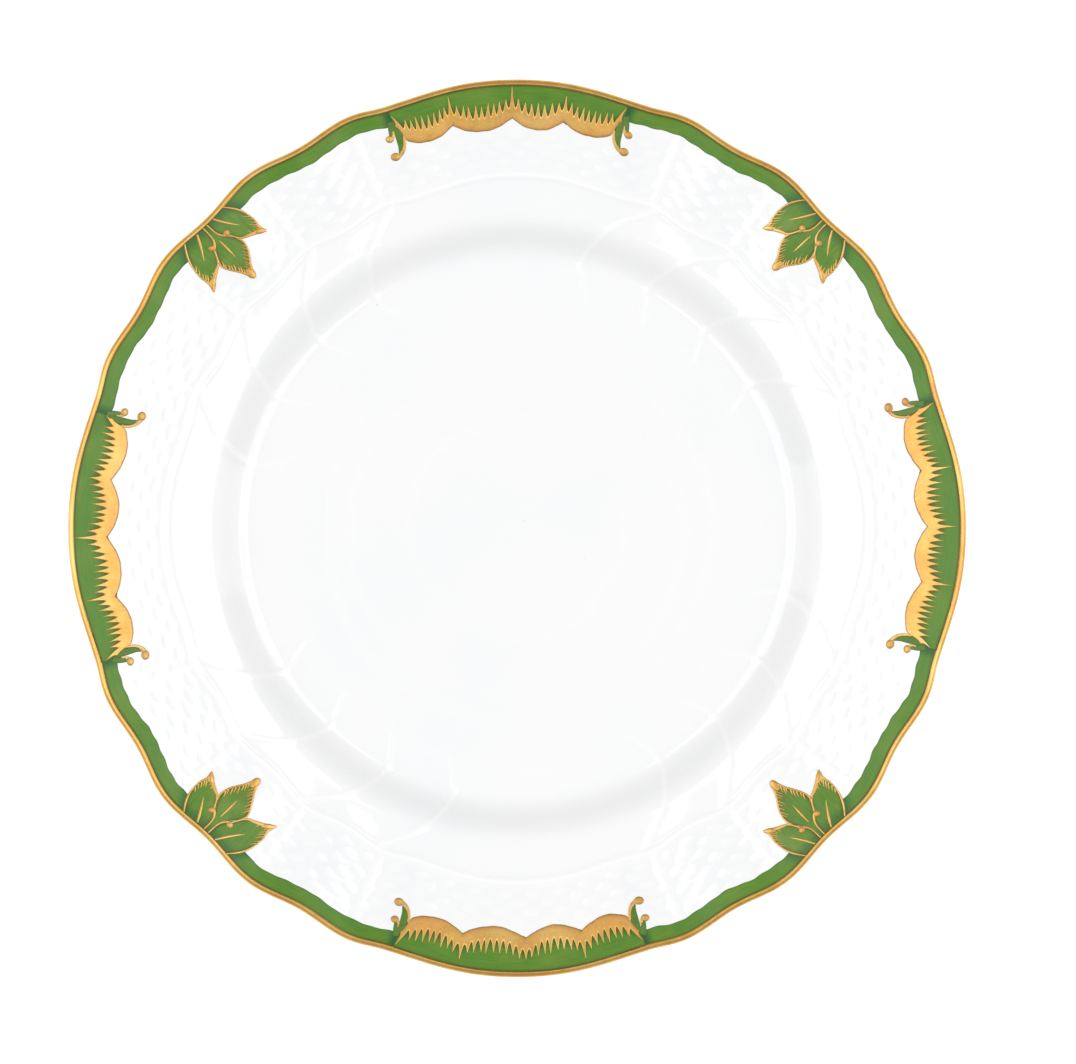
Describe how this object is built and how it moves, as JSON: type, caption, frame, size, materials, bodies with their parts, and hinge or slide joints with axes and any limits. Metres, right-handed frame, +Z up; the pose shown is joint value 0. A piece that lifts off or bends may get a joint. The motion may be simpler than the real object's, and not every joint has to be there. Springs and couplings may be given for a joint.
{
  "type": "dinner plate",
  "caption": "Lobed porcelain dinner plate with a flat well, a moulded rim and a foot ring, edged in gold with green enamel bands, scalloped gold combs and leaf sprays.",
  "frame": {"origin": "middle of the foot ring, on the surface that the plate stands on", "axes": "+Z up out of the well; +Y and +X point to the middles of two neighbouring shell panels, and the leaf sprays lie between the panels at 45 degrees"},
  "size_m": [0.255, 0.255, 0.0245],
  "materials": {
    "porcelain": "polished",
    "green_enamel": "gloss",
    "leaf_enamel": "gloss",
    "gold": "satin"
  },
  "bodies": {
    "root": {"porcelain_body": "porcelain", "gold_comb_east": "gold", "gold_comb_north": "gold", "gold_comb_south": "gold", "gold_comb_west": "gold", "gold_edge_line": "gold", "gold_leaf_tracery_northeast": "gold", "gold_leaf_tracery_northwest": "gold", "gold_leaf_tracery_southeast": "gold", "gold_leaf_tracery_southwest": "gold", "gold_long_bud_east_left": "gold", "gold_long_bud_east_right": "gold", "gold_long_bud_north_left": "gold", "gold_long_bud_north_right": "gold", "gold_long_bud_south_left": "gold", "gold_long_bud_south_right": "gold", "gold_long_bud_west_left": "gold", "gold_long_bud_west_right": "gold", "gold_short_bud_east_left": "gold", "gold_short_bud_east_right": "gold", "gold_short_bud_north_left": "gold", "gold_short_bud_north_right": "gold", "gold_short_bud_south_left": "gold", "gold_short_bud_south_right": "gold", "gold_short_bud_west_left": "gold", "gold_short_bud_west_right": "gold", "green_edge_band_east_left": "green_enamel", "green_edge_band_east_right": "green_enamel", "green_edge_band_north_left": "green_enamel", "green_edge_band_north_right": "green_enamel", "green_edge_band_south_left": "green_enamel", "green_edge_band_south_right": "green_enamel", "green_edge_band_west_left": "green_enamel", "green_edge_band_west_right": "green_enamel", "green_shell_east": "green_enamel", "green_shell_north": "green_enamel", "green_shell_south": "green_enamel", "green_shell_west": "green_enamel", "green_tendril_east_left": "leaf_enamel", "green_tendril_east_right": "leaf_enamel", "green_tendril_north_left": "leaf_enamel", "green_tendril_north_right": "leaf_enamel", "green_tendril_south_left": "leaf_enamel", "green_tendril_south_right": "leaf_enamel", "green_tendril_west_left": "leaf_enamel", "green_tendril_west_right": "leaf_enamel", "leaflet_left_northeast": "leaf_enamel", "leaflet_left_northwest": "leaf_enamel", "leaflet_left_southeast": "leaf_enamel", "leaflet_left_southwest": "leaf_enamel", "leaflet_middle_northeast": "leaf_enamel", "leaflet_middle_northwest": "leaf_enamel", "leaflet_middle_southeast": "leaf_enamel", "leaflet_middle_southwest": "leaf_enamel", "leaflet_right_northeast": "leaf_enamel", "leaflet_right_northwest": "leaf_enamel", "leaflet_right_southeast": "leaf_enamel", "leaflet_right_southwest": "leaf_enamel"}
  },
  "joints": []
}
